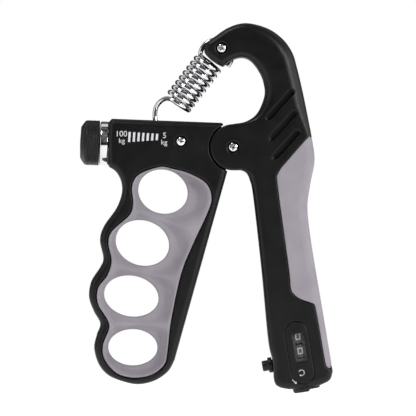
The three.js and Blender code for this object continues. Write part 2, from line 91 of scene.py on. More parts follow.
# ---- Driving dimensions, in millimetres ----
EYE = (4.45, 152.1)  # the middle of the spring's upper loop
HALF_DEPTH = 11.0
PAD_HALF = 11.45
LOBE_RADIUS = 10.35
HEAD_ARC_RADIUS = 10.95
TONGUE_RADIUS = 9.9
TONGUE_HALF = 4.3
EYE_RADIUS = 7.1
WIRE_RADIUS = 1.08
SCREW_SEAT, NUT_SEAT = 9.2, 7.9  # how far from the parting plane screw heads and nuts sit
LONG_SCREW, SHORT_SCREW = 19.1, 12.8
PIN_U, PIN_W = 32.83, 6.51  # the carriage pin, along the head and up from the spindle
SEAM = 0.07  # half the gap between the front and back shells
SKIN_GAP = 0.1  # half the gap between a rubber grip and its shell
LEDGE_HALF, LEDGE_WIDTH = 8.6, 1.2  # the ledge of the shell under the edge of a rubber grip

# The counter, in its own frame: u is across it, y is depth, and w is up along it.
WHEEL_X, WHEEL_Y = 0.4, -4.0  # the axis of the two digit wheels
UNITS_W, TENS_W = 0.6, 7.1  # the middles of the wheels
WINDOW_W, BUTTON_W = 2.1, -3.6  # the middle of the window, and the button's axis
BEZEL_HALF, BEZEL_RADIUS, BEZEL_POCKET = 14.0, 5.25, 5.33
COUNTER_ORIGIN = UNITS_ORIGIN - Matrix.Rotation(COUNTER_TILT, 3, "Y") @ Vector((WHEEL_X, WHEEL_Y, UNITS_W))

ROOM_DARK, ROOM_GREY, ROOM_BRIGHT = 0.015, 0.24, 0.9
# (the Y of a direction, how white): white walls beside the part and a little behind it
SIDE_WALLS = [(0.1, 0), (0.62, 0), (0.22, 1), (0.5, 1)]
SCALE_Z = 115.36
FLOOR_DROP = 8.0  # room under the part for the finger handle, which swings down as it closes
SCOOP_DEPTH = 5.0
RUN_STEP = 0.5  # between the points of a smooth run
SLOT_DEPTH = 2.6


# ---- Outlines in the plane of the handles ----
def run_through(points, before, after, fewest):
    """A smooth run of points through the given ones (Catmull-Rom), about RUN_STEP apart.

    before and after lie past its two ends, and fewest is the least count of points in a stretch."""
    knots = np.vstack([before, points, after])
    run = []
    for a, b, c, d in zip(knots, knots[1:], knots[2:], knots[3:]):
        count = max(fewest, int(np.linalg.norm(c - b) / RUN_STEP))
        t = np.linspace(0, 1, count, endpoint=False)[:, None]
        v0, v1 = (c - a) / 2, (d - b) / 2
        cubic = (2 * b - 2 * c + v0 + v1) * t**3 + (3 * c - 3 * b - 2 * v0 - v1) * t**2
        run.append(cubic + v0 * t + b)
    run.append(points[-1:])
    return np.vstack(run)


def spline(points):
    p = np.array(points, float)
    return run_through(p, p[0], p[-1], 2)


def closed_spline(points):
    """A closed run: it is drawn past its start and cut where it comes to the first point again."""
    whole = spline([points[-1], *points, points[0], points[1]])
    passes = np.flatnonzero((whole == np.array(points[0])).all(1))
    return whole[passes[0]:passes[-1]]


def wire_path(points):
    """A run for a wire, which goes straight on at its ends."""
    p = np.array(points, float)
    return run_through(p, 2 * p[0] - p[1], 2 * p[-1] - p[-2], 1)


def arc(centre, radius, start, end, steps=40):
    angle = np.radians(np.linspace(start, end, steps))
    return np.stack([centre[0] + radius * np.cos(angle), centre[1] + radius * np.sin(angle)], 1)


GOOSENECK_OUTER = [
    (3.2, 160), (10.2, 164.6), (18, 166.5), (27.5, 164.2), (34.3, 159.5), (38.6, 153.5), (40.8, 146.6),
    (43.8, 133.7), (46.8, 118.6),
]
PALM_OUTER = [
    (47.3, 115.9), (48.7, 105.1), (46.8, 94.3), (45.5, 83.5), (47.3, 67.3), (51.8, 40.3), (56.3, 13.3),
    (56.6, 9.4), (55.2, 6), (50.2, 3.6),
]
PALM_INNER = [
    (37.1, 2.1), (32.8, 3.1), (30.6, 5.6), (30, 14), (27.9, 24.1), (24.9, 55.6), (21.2, 88.4),
    (19.6, 96.1), (18, 99.3), (15.6, 100.5),
]
GOOSENECK_INNER = [
    (12.6, 121.3), (18, 122.4), (22.9, 126.1), (26.2, 134), (25.7, 140.3), (23.4, 145.5), (20, 149.6),
    (16.2, 151.1), (11.7, 150), (7.5, 147),
]
HOOK_TIP = [(4.6, 148.5), (1.6, 150.8), (-0.9, 154), (0.2, 158.2)]
PAD_EDGE = [
    (33.7, 101.7), (31.9, 98.5), (31.7, 95.7), (33.7, 80.4), (37.1, 55.6), (37.8, 47.8), (39.2, 44.9),
    (42.3, 42.6), (47.6, 40.7), (48.8, 39), (50.8, 28.6), (53.2, 14.6), (54.2, 11.9), (55.4, 11.4),
]
FINGER_LEFT = [
    (-43.5, 101.8), (-40.5, 99.7), (-38.2, 95.4), (-37.9, 90.2), (-40.3, 83.5), (-45.9, 75.4),
    (-47.7, 69.1), (-46.2, 61), (-47.6, 57), (-51.6, 50.6), (-52.6, 43.6), (-50.5, 37.2), (-47.6, 31.7),
    (-49.1, 26.8), (-50.3, 20.6), (-48.2, 13.3), (-43.6, 8.2), (-36, 5.2), (-29.6, 4.4), (-22.6, 6.2),
    (-17, 10.3), (-14.2, 15.2),
]
LINER_EDGE = [
    (-21, 102), (-30.3, 98.6), (-33.4, 93), (-32.9, 86), (-34.5, 80.4), (-42.3, 73.2), (-44, 67.6),
    (-42.6, 60), (-44.4, 53.4), (-48.6, 47.6), (-48.7, 40.6), (-44.6, 33.6), (-43.7, 29.4),
    (-46.4, 22.2), (-45.8, 15.8), (-40.6, 9.6), (-33, 7.3), (-24.6, 8.6), (-18.8, 13.2), (-17.3, 19.4),
    (-15.7, 32.9), (-11.2, 53.8), (-5.9, 67.2), (0.2, 80.2), (2.5, 87.8), (0.2, 94.4), (-7.4, 99),
    (-15.3, 101.2),
]
# centre x, centre z, width, height, clockwise tilt in degrees
FINGER_HOLES = [
    (-19.5, 90.85, 22.5, 19.6, 17), (-28.75, 67.75, 24.4, 20.2, 17), (-33.75, 43.85, 24.7, 18.4, 10),
    (-33.05, 20.8, 22.2, 16.5, 0),
]
GRIP_SLOTS = [(28.3, 124.2, 38.2, 135.4), (29.8, 115.1, 39.5, 125.9), (31.1, 106.5, 40.8, 117.3)]


def palm_outline():
    lobe = arc(PIVOT, LOBE_RADIUS, 268, 92, 60)
    return np.vstack([spline(GOOSENECK_OUTER), spline(PALM_OUTER), spline(PALM_INNER), lobe,
                      spline(GOOSENECK_INNER), spline(HOOK_TIP)])


def pad_region_outline():
    return np.vstack([[(70, 11.4), (70, 116.3), (46.4, 116.3)], spline(PAD_EDGE)])


def finger_outline():
    top = [(10.6, 103.9), (10.6, 118.5), (7, 121.75), (-42.4, 123.6), (-43.9, 121.9),
           (-44.5, 112.5), (-44.3, 103.2)]
    return np.vstack([spline(FINGER_LEFT), top])


# ---- Distance fields ----
class Outline:
    """The signed distance to a closed outline, held on a fine grid and read between its nodes."""

    def __init__(self, points, cell=0.3, margin=9.0):
        self.cell = cell
        self.low = points.min(0) - margin
        size = points.max(0) + margin - self.low
        x, z = [self.low[i] + cell * np.arange(int(size[i] / cell) + 2) for i in (0, 1)]
        gx, gz = np.meshgrid(x, z, indexing="ij")
        nearest = np.full(gx.shape, 1e9)
        inside = np.zeros(gx.shape, bool)
        for (ax, az), (bx, bz) in zip(points, np.roll(points, -1, 0)):
            ex, ez = bx - ax, bz - az
            length2 = ex * ex + ez * ez
            if length2 < 1e-12:
                continue
            t = np.clip(((gx - ax) * ex + (gz - az) * ez) / length2, 0, 1)
            np.minimum(nearest, (gx - ax - t * ex) ** 2 + (gz - az - t * ez) ** 2, out=nearest)
            if az != bz:
                crosses = ((az > gz) != (bz > gz)) & (gx < ex * (gz - az) / ez + ax)
                inside ^= crosses
        self.values = np.where(inside, -1, 1) * np.sqrt(nearest)

    def __call__(self, x, z):
        x, z = np.broadcast_arrays(x, z)
        u = np.clip((x - self.low[0]) / self.cell, 0, self.values.shape[0] - 1.001)
        w = np.clip((z - self.low[1]) / self.cell, 0, self.values.shape[1] - 1.001)
        i, k = u.astype(int), w.astype(int)
        fu, fw = u - i, w - k
        v = self.values
        near = v[i, k] * (1 - fu) + v[i + 1, k] * fu
        far = v[i, k + 1] * (1 - fu) + v[i + 1, k + 1] * fu
        return near * (1 - fw) + far * fw


def smin(a, b, k):
    h = np.clip(0.5 + 0.5 * (b - a) / k, 0, 1)
    return b * (1 - h) + a * h - k * h * (1 - h)


def smax(a, b, k):
    return -smin(-a, -b, k)


def slab(flat, y, half, radius):
    """An outline given thickness, with rounded front and back edges."""
    side = flat + radius
    face = np.abs(y) - half + radius
    outer = np.hypot(np.maximum(side, 0), np.maximum(face, 0))
    return np.minimum(np.maximum(side, face), 0) + outer - radius


def disc(x, z, centre, radius):
    return np.hypot(x - centre[0], z - centre[1]) - radius


def between(y, low, high):
    return np.maximum(low - y, y - high)


def box_field(x, y, z, low, high):
    return np.maximum(np.maximum(between(x, low[0], high[0]), between(y, low[1], high[1])),
                      between(z, low[2], high[2]))


def capsule(x, z, a, b, radius):
    ex, ez = b[0] - a[0], b[1] - a[1]
    t = np.clip(((x - a[0]) * ex + (z - a[1]) * ez) / (ex * ex + ez * ez), 0, 1)
    return np.hypot(x - a[0] - t * ex, z - a[1] - t * ez) - radius


def cut(solid, tool, k=0.35):
    return smax(solid, -tool, k)


def skin_pocket(flat, inner, y):
    """What a rubber skin takes out of its shell; deep down, a ledge of the shell runs under the skin.

    flat is the distance to the skin's outline, and inner is below zero where there is no ledge."""
    above = np.maximum(flat - SKIN_GAP, LEDGE_HALF - np.abs(y))
    return np.minimum(above, np.maximum(flat - SKIN_GAP, inner))


def skin_edge(flat, inner, y):
    """The side of a rubber skin, stepped to sit on the ledge of its shell."""
    above = np.maximum(flat + SKIN_GAP, LEDGE_HALF + 0.1 - np.abs(y))
    return np.minimum(above, np.maximum(flat + SKIN_GAP, inner + 0.1))


def local(x, z, origin, tilt):
    """Coordinates along a tilted group, such as the spindle or the counter."""
    c, s = math.cos(tilt), math.sin(tilt)
    dx, dz = x - origin.x, z - origin.z
    return dx * c - dz * s, dx * s + dz * c


def surface_net(field, low, high, cell):
    """The closed surface where field is 0, as vertices and quads, in millimetres."""
    low, high = np.array(low, float), np.array(high, float)
    axes = [np.arange(low[i], high[i] + cell, cell) for i in range(3)]
    grid = np.meshgrid(*axes, indexing="ij", sparse=True)
    values = np.broadcast_to(field(*grid), [len(a) for a in axes]).astype(np.float32)
    shape = np.array(values.shape)
    for axis in range(3):
        edge = [slice(None)] * 3
        for end in (0, -1):
            edge[axis] = end
            values[tuple(edge)] = np.maximum(values[tuple(edge)], 0.1)
    cells = shape - 1
    total = int(np.prod(cells))
    weight = np.zeros(total)
    place = np.zeros((total, 3))
    quads = []
    for axis in range(3):
        head = [slice(None)] * 3
        tail = [slice(None)] * 3
        head[axis], tail[axis] = slice(0, -1), slice(1, None)
        a, b = values[tuple(head)], values[tuple(tail)]
        index = np.argwhere((a < 0) != (b < 0))
        va, vb = a[tuple(index.T)], b[tuple(index.T)]
        point = index.astype(float)
        point[:, axis] += va / (va - vb)
        p, q = [i for i in range(3) if i != axis]
        ring = []
        for dp, dq in ((0, 0), (1, 0), (1, 1), (0, 1)):
            cell_index = index.copy()
            cell_index[:, p] -= dp
            cell_index[:, q] -= dq
            flat = np.ravel_multi_index(cell_index.T, cells)
            ring.append(flat)
            weight += np.bincount(flat, minlength=total)
            for i in range(3):
                place[:, i] += np.bincount(flat, point[:, i], minlength=total)
        quad = np.stack(ring, 1)
        turn = (va < 0) == (axis == 1)
        quad[turn] = quad[turn][:, ::-1]
        quads.append(quad)
    used = np.flatnonzero(weight)
    number = np.zeros(total, int)
    number[used] = np.arange(len(used))
    vertices = low + cell * place[used] / weight[used, None]
    return settle(field, vertices, cell), number[np.vstack(quads)]


def settle(field, vertices, cell, rounds=3, h=0.02):
    """Moves each vertex onto the field's zero level."""
    for _ in range(rounds):
        value = field(*vertices.T)
        slope = np.stack([(field(*(vertices + h * unit).T) - value) / h for unit in np.eye(3)], 1)
        size = np.maximum((slope**2).sum(1), 0.05)
        step = np.clip(value / size, -0.4 * cell, 0.4 * cell)
        vertices = vertices - step[:, None] * slope
    return vertices


# ---- Mesh helpers ----
def mesh_object(name, vertices, faces, smooth=True):
    mesh = bpy.data.meshes.new(name)
    mesh.from_pydata((np.asarray(vertices) * MM).tolist(), [], [list(f) for f in faces])
    mesh.validate()
    mesh.update()
    if smooth:
        mesh.shade_smooth()
    thing = bpy.data.objects.new(name, mesh)
    bpy.context.collection.objects.link(thing)
    return thing


def field_object(name, field, low, high, cell):
    vertices, quads = surface_net(field, low, high, cell)
    return mesh_object(name, vertices, quads.tolist())


def finish_piece(thing, body, finish, nodes=(), place=None):
    """Puts a piece in its place, gives it its material and its body, and hides the CAD nodes it stands for.
    """
    if place is not None:
        thing.data.transform(place)
    thing.data.materials.clear()
    thing.data.materials.append(finish)
    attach(thing, body)
    if nodes:
        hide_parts(*nodes)
    return thing


def shift(x, y, z):
    return Matrix.Translation(Vector((x, y, z)) * MM)


def group_matrix(origin, tilt):
    return Matrix.Translation(origin * MM) @ Matrix.Rotation(tilt, 4, "Y")


HEAD_MATRIX = group_matrix(HEAD_ORIGIN, HEAD_TILT)
COUNTER_MATRIX = group_matrix(COUNTER_ORIGIN, COUNTER_TILT)
AXIS_TURN = {
    "x": Matrix.Rotation(math.pi / 2, 4, "Y"),
    "y": Matrix.Rotation(-math.pi / 2, 4, "X"),
    "z": Matrix.Identity(4),
}


def side_faces(rows, sides, closed=False):
    """Faces that join a row of rings, with a cap at each end unless the row closes on itself."""
    faces = []
    for row in range(rows if closed else rows - 1):
        here, there = row * sides, (row + 1) % rows * sides
        for i in range(sides):
            j = (i + 1) % sides
            faces.append([here + i, here + j, there + j, there + i])
    if not closed:
        faces.append(list(range(sides))[::-1])
        faces.append(list(range((rows - 1) * sides, rows * sides)))
    return faces


def turned(name, profile, axis, steps=96, ripple=None, closed=False):
    """A turned piece from (distance along the axis, radius) pairs; closed makes it a ring."""
    angles = np.linspace(0, 2 * math.pi, steps, endpoint=False)
    rings = []
    for along, radius in profile:
        r = radius if ripple is None else radius + ripple(along, radius, angles)
        rings.append(np.stack([r * np.cos(angles), r * np.sin(angles), np.full(steps, along)], 1))
    thing = mesh_object(name, np.vstack(rings), side_faces(len(profile), steps, closed))
    thing.data.transform(AXIS_TURN[axis])
    return thing


def bevelled(profile, size=0.25, cuts=3):
    """The profile with each corner replaced by a small arc."""
    points = [np.array(p, float) for p in profile]
    result = [points[0]]
    for before, corner, after in zip(points, points[1:], points[2:]):
        back, ahead = before - corner, after - corner
        reach = min(size, 0.45 * np.hypot(*back), 0.45 * np.hypot(*ahead))
        a = corner + back / max(np.hypot(*back), 1e-9) * reach
        b = corner + ahead / max(np.hypot(*ahead), 1e-9) * reach
        for t in np.linspace(0, 1, cuts + 1):
            result.append((1 - t) ** 2 * a + 2 * t * (1 - t) * corner + t * t * b)
    result.append(points[-1])
    return [tuple(p) for p in result]


# ---- Materials ----
def material(name, colour, roughness, metallic=0.0, **sockets):
    made = bpy.data.materials.new(name)
    made.use_nodes = True
    shader = made.node_tree.nodes["Principled BSDF"]
    shader.inputs["Base Color"].default_value = (*colour, 1)
    shader.inputs["Roughness"].default_value = roughness
    shader.inputs["Metallic"].default_value = metallic
    for socket, value in sockets.items():
        shader.inputs[socket.replace("_", " ")].default_value = value
    return made


def add_noise(made, scale, detail=3.0, stretch=(1, 1, 1)):
    """A noise texture in the object's own coordinates; scale is in bumps per metre."""
    tree = made.node_tree
    place = tree.nodes.new("ShaderNodeTexCoord")
    mapping = tree.nodes.new("ShaderNodeMapping")
    mapping.inputs["Scale"].default_value = stretch
    noise = tree.nodes.new("ShaderNodeTexNoise")
    noise.inputs["Scale"].default_value = scale
    noise.inputs["Detail"].default_value = detail
    tree.links.new(place.outputs["Object"], mapping.inputs["Vector"])
    tree.links.new(mapping.outputs["Vector"], noise.inputs["Vector"])
    return noise.outputs["Fac"]


def vary(made, factor, socket, low, high):
    """Lets factor move a socket of the shader between two values or colours."""
    tree = made.node_tree
    shader = tree.nodes["Principled BSDF"]
    ramp = tree.nodes.new("ShaderNodeValToRGB")
    ramp.color_ramp.elements[0].position = 0.3
    ramp.color_ramp.elements[1].position = 0.7
    as_colour = (lambda v: (*v, 1)) if isinstance(low, tuple) else (lambda v: (v, v, v, 1))
    ramp.color_ramp.elements[0].color = as_colour(low)
    ramp.color_ramp.elements[1].color = as_colour(high)
    tree.links.new(factor, ramp.inputs["Fac"])
    tree.links.new(ramp.outputs["Color"], shader.inputs[socket])


def bump(made, height, distance):
    tree = made.node_tree
    node = tree.nodes.new("ShaderNodeBump")
    node.inputs["Distance"].default_value = distance
    tree.links.new(height, node.inputs["Height"])
    tree.links.new(node.outputs["Normal"], tree.nodes["Principled BSDF"].inputs["Normal"])


def added(made, base, factor, weight):
    """The base height with a weighted share of another on top."""
    tree = made.node_tree
    total = tree.nodes.new("ShaderNodeMath")
    total.operation = "MULTIPLY_ADD"
    total.inputs[1].default_value = weight
    tree.links.new(factor, total.inputs[0])
    tree.links.new(base, total.inputs[2])
    return total.outputs[0]


def moulded_plastic(name, colour=(0.0036, 0.0036, 0.0039), roughness=(0.3, 0.4)):
    """Satin moulded plastic: a fine spark-eroded grain and slow changes of gloss."""
    made = material(name, colour, roughness[0], Specular_IOR_Level=0.27)
    cloud = add_noise(made, 60, 2)
    grain = add_noise(made, 5200, 2)
    swell = add_noise(made, 160, 2)
    lighter = tuple(c * 1.45 for c in colour)
    vary(made, cloud, "Base Color", colour, lighter)
    vary(made, swell, "Roughness", *roughness)
    bump(made, added(made, grain, swell, 1.5), 0.00003)
    return made


def grip_rubber(name, colour=(0.3, 0.277, 0.308)):
    """Matt thermoplastic rubber: soft grain, a little sheen, faint mottling."""
    made = material(name, colour, 0.7, Specular_IOR_Level=0.2, Sheen_Weight=0.04, Sheen_Roughness=0.5)
    cloud = add_noise(made, 90, 3)
    grain = add_noise(made, 3600, 3)
    darker = tuple(c * 0.9 for c in colour)
    lighter = tuple(c * 1.07 for c in colour)
    vary(made, cloud, "Base Color", darker, lighter)
    vary(made, grain, "Roughness", 0.64, 0.8)
    bump(made, grain, 0.00005)
    return made


def chrome_plate(name, roughness=(0.05, 0.12)):
    made = material(name, (0.7, 0.7, 0.715), roughness[0], 1.0)
    smear = add_noise(made, 350, 4)
    vary(made, smear, "Roughness", *roughness)
    vary(made, add_noise(made, 120, 2), "Base Color", (0.62, 0.62, 0.635), (0.76, 0.76, 0.775))
    bump(made, smear, 0.00001)
    return made


def brushed_metal(name, colour=(0.42, 0.42, 0.44)):
    made = material(name, colour, 0.3, 1.0)
    scratch = add_noise(made, 900, 4, (1, 1, 6))
    vary(made, scratch, "Roughness", 0.22, 0.42)
    vary(made, add_noise(made, 200, 2), "Base Color", colour, tuple(c * 1.3 for c in colour))
    bump(made, scratch, 0.00002)
    return made


def white_ink(name, colour, roughness, noise, low, high):
    made = material(name, colour, roughness)
    vary(made, add_noise(made, *noise), "Base Color", low, high)
    return made


BLACK = moulded_plastic("black_plastic")
KNOB_BLACK = moulded_plastic("knob_plastic", (0.0045, 0.0045, 0.0048), (0.26, 0.38))
RUBBER = grip_rubber("grip_rubber")
CHROME = chrome_plate("chrome")
STEEL = brushed_metal("zinc_steel")
BRASS = brushed_metal("brass", (0.56, 0.41, 0.17))
PRINT = white_ink("white_print", (0.66, 0.66, 0.68), 0.5, (2600, 3), (0.56, 0.56, 0.59), (0.74, 0.74, 0.76))
DIGIT_INK = white_ink("digit_ink", (0.9, 0.9, 0.92), 0.55, (2500, 2), (0.84, 0.84, 0.86), (0.96, 0.96, 0.98))


# ---- The palm handle ----
palm_flat = Outline(palm_outline())
pad_flat = Outline(pad_region_outline())


def screw_pocket(x, y, z, centre, front):
    """A counterbore of 5.3 mm for a screw head, on the front (-1) or the back (+1), and its hole."""
    away = y * front
    bore = np.maximum(disc(x, z, centre, 2.65), 9.0 - away)
    return np.minimum(bore, np.maximum(disc(x, z, centre, 1.7), -away))


def nut_pocket(x, y, z, centre):
    return np.maximum(disc(x, z, centre, 3.6), 7.7 - y)


def palm_body_field(x, y, z):
    flat = palm_flat(x, z)
    blend_in = np.clip((x - 20) / 14, 0, 1) * np.clip((z - 118) / 12, 0, 1)
    lobe = np.clip((np.hypot(x - PIVOT[0], z - PIVOT[1]) - LOBE_RADIUS) / 6, 0, 1)
    solid = slab(flat, y, HALF_DEPTH, 0.7 + 2.0 * lobe + 2.9 * blend_in)
    pad = pad_flat(x, z)
    solid = cut(solid, skin_pocket(pad, pad + LEDGE_WIDTH, y), 0.4)
    tongue = np.maximum(disc(x, z, PIVOT, LOBE_RADIUS + 0.1), np.abs(y) - TONGUE_HALF - 0.3)
    notch = box_field(x, y, z, (0, -4.6, PIVOT[1] - 12), (17.15, 4.6, PIVOT[1] - 7))
    solid = cut(solid, np.minimum(tongue, notch), 0.2)
    slot = np.maximum(disc(x, z, EYE, EYE_RADIUS + 1.65), np.abs(y) - 1.6)
    solid = cut(solid, slot, 0.5)
    for centre in (PIVOT, HOOK_SCREW):
        solid = cut(solid, screw_pocket(x, y, z, centre, -1), 0.3)
        solid = cut(solid, nut_pocket(x, y, z, centre), 0.3)
    for centre in PALM_BACK_SCREWS.values():
        solid = cut(solid, screw_pocket(x, y, z, centre, 1), 0.3)
    for x1, z1, x2, z2 in GRIP_SLOTS:
        groove = capsule(x, z, (x1, z1), (x2, z2), 1.35)
        solid = cut(solid, np.maximum(groove, HALF_DEPTH - SLOT_DEPTH - np.abs(y)), 0.3)
    return counter_pockets(solid, x, y, z)


def counter_pockets(solid, x, y, z):
    u, w = local(x, z, COUNTER_ORIGIN, COUNTER_TILT)
    dial = np.hypot(u - WHEEL_X, y - WHEEL_Y)
    boss = np.maximum(dial - 7.4, between(w, -15.6, -11.5))
    solid = smin(solid, boss, 0.8)
    solid = cut(solid, np.maximum(bezel_shape(u, w, BEZEL_POCKET), y + 10.05), 0.12)
    solid = cut(solid, box_field(u, y, w, (-3.3, -13, -5.2), (4.1, -6, 9.4)), 0.2)
    solid = cut(solid, box_field(u, y, w, (-6.3, -9.4, -7.4), (7.1, 3.4, 12.9)), 0.2)
    solid = cut(solid, np.maximum(dial - 6.5, w + 14.9), 0.35)
    around = np.hypot(y, w - BUTTON_W)
    solid = cut(solid, np.maximum(around - 3.75, u + 12.6), 0.35)
    return cut(solid, np.maximum(around - 2.7, u + 5), 0.2)


def bezel_shape(u, w, radius):
    reach = BEZEL_HALF - BEZEL_RADIUS
    return capsule(u, w, (0, -reach), (0, reach), radius)


def make_shells(handle, field, low, high):
    """The front and back halves of a handle, which fills the box from low to high."""
    for side, name in ((-1, "front"), (1, "back")):
        def half(x, y, z, side=side):
            return smax(field(x, y, z), SEAM - side * y, 0.15)
        near, far = (low[1], 0.6) if side < 0 else (-0.6, high[1])
        node = "{}_shell_{}".format(handle, name)
        shell = field_object("visual_" + node, half, (low[0], near, low[2]), (high[0], far, high[2]), CELL)
        finish_piece(shell, handle + "_handle", BLACK, [node])


def make_palm_pad():
    def field(x, y, z):
        crown = 0.35 * np.sin(np.clip((z - 12) / 104, 0, 1) * math.pi)
        skin = slab(palm_flat(x, z), y, PAD_HALF - 0.35 + crown, 4.6)
        flat = pad_flat(x, z)
        return smax(skin, skin_edge(flat, flat + LEDGE_WIDTH, y), 0.4)
    pad = field_object("visual_palm_pad", field, (30, -12.6, 9.5), (58.4, 12.6, 118), CELL)
    finish_piece(pad, "palm_handle", RUBBER, ["palm_pad"])


# ---- The finger handle ----
finger_flat = Outline(finger_outline())
liner_flat = Outline(closed_spline(LINER_EDGE))
web_flat = Outline(np.vstack([[PIVOT], arc(PIVOT, HEAD_ARC_RADIUS + 2, 120, 252, 30)]))


def ellipse_distance(x, z, hole, grow=0.0):
    """About the distance to a tilted oval, negative inside it."""
    cx, cz, width, height, tilt = hole
    c, s = math.cos(math.radians(tilt)), math.sin(math.radians(tilt))
    u = (x - cx) * c - (z - cz) * s
    w = (x - cx) * s + (z - cz) * c
    a, b = width / 2 + grow, height / 2 + grow
    k0 = np.sqrt((u / a) ** 2 + (w / b) ** 2)
    k1 = np.sqrt((u / a**2) ** 2 + (w / b**2) ** 2)
    return k0 * (k0 - 1) / np.maximum(k1, 1e-6)


def liner_ledge(x, z, flat):
    """Below zero where the shell has no ledge under the lining: its middle, and a wall by each hole."""
    holes = np.minimum.reduce([ellipse_distance(x, z, hole) for hole in FINGER_HOLES])
    return np.minimum(flat + LEDGE_WIDTH, holes - 0.9)


def finger_body_field(x, y, z):
    solid = slab(finger_flat(x, z), y, HALF_DEPTH, 2.9)
    solid = cut(solid, disc(x, z, PIVOT, HEAD_ARC_RADIUS), 0.5)
    tongue = np.minimum(disc(x, z, PIVOT, TONGUE_RADIUS), web_flat(x, z))
    solid = np.minimum(solid, np.maximum(tongue, np.abs(y) - TONGUE_HALF))
    flat = liner_flat(x, z)
    opening = skin_pocket(flat, liner_ledge(x, z, flat), y)
    lip = np.maximum(flat - SKIN_GAP - 0.35, 10.2 - np.abs(y))
    solid = cut(solid, np.minimum(opening, lip), 0.4)
    solid = cut(solid, disc(x, z, PIVOT, 3.3), 0.2)
    solid = cut(solid, screw_pocket(x, y, z, HEAD_SCREW, -1), 0.3)
    solid = cut(solid, nut_pocket(x, y, z, HEAD_SCREW), 0.3)
    solid = cut(solid, screw_pocket(x, y, z, FINGER_BACK_SCREW, 1), 0.3)
    u, w = local(x, z, HEAD_ORIGIN, HEAD_TILT)
    solid = cut(solid, box_field(u, y, w, (12.4, -6.2, -4.6), (37.9, 6.2, 9.4)), 0.3)
    slot = slab(np.maximum(between(u, 15.2, 37.9) + 1.5, np.abs(y) - 1.1) - 1.5, w, 99, 0.1)
    solid = cut(solid, np.maximum(slot, -w - 2), 0.5)
    around = np.hypot(y, w)
    solid = cut(solid, np.maximum(around - 2.5, u - 13), 0.2)
    return cut(solid, np.maximum(around - 10.05, u - 8.5), 0.4)


def liner_field(x, y, z):
    """The lining is dished round each finger hole, most on the side towards the palm."""
    flat = liner_flat(x, z)
    dish, holes = 0.0, 1e3
    for hole in FINGER_HOLES:
        edge = ellipse_distance(x, z, hole)
        cx, cz, width, height, tilt = hole
        scoop = (cx + 2.2, cz - 0.5, width + 5, height + 1.5, tilt)
        away = np.maximum(ellipse_distance(x, z, scoop), 0)
        dish = dish + np.exp(-3 * (away / 3.4) ** 1.6)
        holes = np.minimum(holes, edge)
    border = np.clip(-flat / 3.6, 0, 1)
    half = 10.95 - SCOOP_DEPTH * dish ** (1 / 3) * border**2 * (3 - 2 * border)
    edge = skin_edge(flat, liner_ledge(x, z, flat), y)
    solid = smax(edge, (np.abs(y) - half) * 0.8, 0.55)
    return smax(solid, -holes, 1.2)


def make_finger_liner():
    liner = field_object("visual_finger_liner", liner_field, (-51, -12.4, 5.6), (4.4, 12.4, 103.8), CELL)
    finish_piece(liner, "finger_handle", RUBBER, ["finger_liner"])


# ---- Screws and nuts ----
def screw_head_field(x, y, z):
    """A pan head of 4.4 mm that faces -Y and seats at y = 0, with a cross recess."""
    r = np.hypot(x, z)
    dome = np.sqrt(r * r + (y - 2.35) ** 2) - 3.85
    head = smax(smax(dome, r - 2.2, 0.3), y, 0.15)
    depth = np.clip(-y - 0.35, 0, 2)
    blade = 0.2 + 0.16 * depth
    reach = 0.75 + 0.55 * depth
    ax, az = np.abs(x), np.abs(z)
    arm1 = np.maximum(ax - reach, az - blade)
    arm2 = np.maximum(az - reach, ax - blade)
    cross = np.maximum(smin(arm1, arm2, 0.25), y + 0.45)
    return smax(head, -cross, 0.1)


def make_screw(node, body, centre, facing, shank, length, turn, finish):
    """facing is -1 for a head at the front and +1 for one at the back."""
    head = field_object("visual_" + node, screw_head_field, (-2.6, -2, -2.6), (2.6, 0.5, 2.6), 0.085)
    head.data.transform(Matrix.Rotation(math.radians(turn), 4, "Y"))
    profile = bevelled([(-0.2, 0.1), (-0.2, shank), (length, shank), (length, 0.1)])
    join([head, turned(node + "_stem", profile, "y", 40)], head.name)
    if facing > 0:
        head.data.transform(Matrix.Rotation(math.pi, 4, "Z"))
    finish_piece(head, body, finish, [node], shift(centre[0], facing * SCREW_SEAT, centre[1]))


def join(things, name, smooth=True):
    """Joins the other pieces' meshes into the first one's, and gives the result its name."""
    first = things[0]
    verts, faces = [], []
    for thing in things:
        offset = len(verts)
        verts += [v.co[:] for v in thing.data.vertices]
        faces += [[offset + i for i in p.vertices] for p in thing.data.polygons]
    mesh = bpy.data.meshes.new(first.name)
    mesh.from_pydata(verts, [], faces)
    mesh.validate()
    if smooth:
        mesh.shade_smooth()
    first.data = mesh
    for thing in things[1:]:
        bpy.data.objects.remove(thing)
    first.name = name
    return first


def make_screws():
    make_screw("pivot_screw", "palm_handle", PIVOT, -1, 1.5, LONG_SCREW, 12, CHROME)
    make_screw("hook_screw", "palm_handle", HOOK_SCREW, -1, 1.2, LONG_SCREW, 38, CHROME)
    make_screw("head_screw", "finger_handle", HEAD_SCREW, -1, 1.5, LONG_SCREW, -25, CHROME)
    for i, (node, centre) in enumerate(PALM_BACK_SCREWS.items()):
        make_screw(node, "palm_handle", centre, 1, 1.25, SHORT_SCREW, 20 + 31 * i, STEEL)
    make_screw("finger_back_screw", "finger_handle", FINGER_BACK_SCREW, 1, 1.25, SHORT_SCREW, 55,
               STEEL)


def hex_nut_field(x, y, z):
    """A hexagon nut 5.5 mm across flats with domed corners and a bore, from y = 0 to 2.4."""
    sides = [np.abs(x * math.cos(a) + z * math.sin(a)) for a in np.radians((0, 60, 120))]
    flats = np.maximum(np.maximum(sides[0], sides[1]), sides[2]) - 2.75
    r = np.hypot(x, z)
    chamfer = (r - 2.85) * 0.5 + (np.abs(y - 1.2) - 1.05) * 0.86
    solid = smax(smax(flats, between(y, 0, 2.4), 0.12), chamfer, 0.1)
    return smax(solid, 1.62 - r, 0.15)


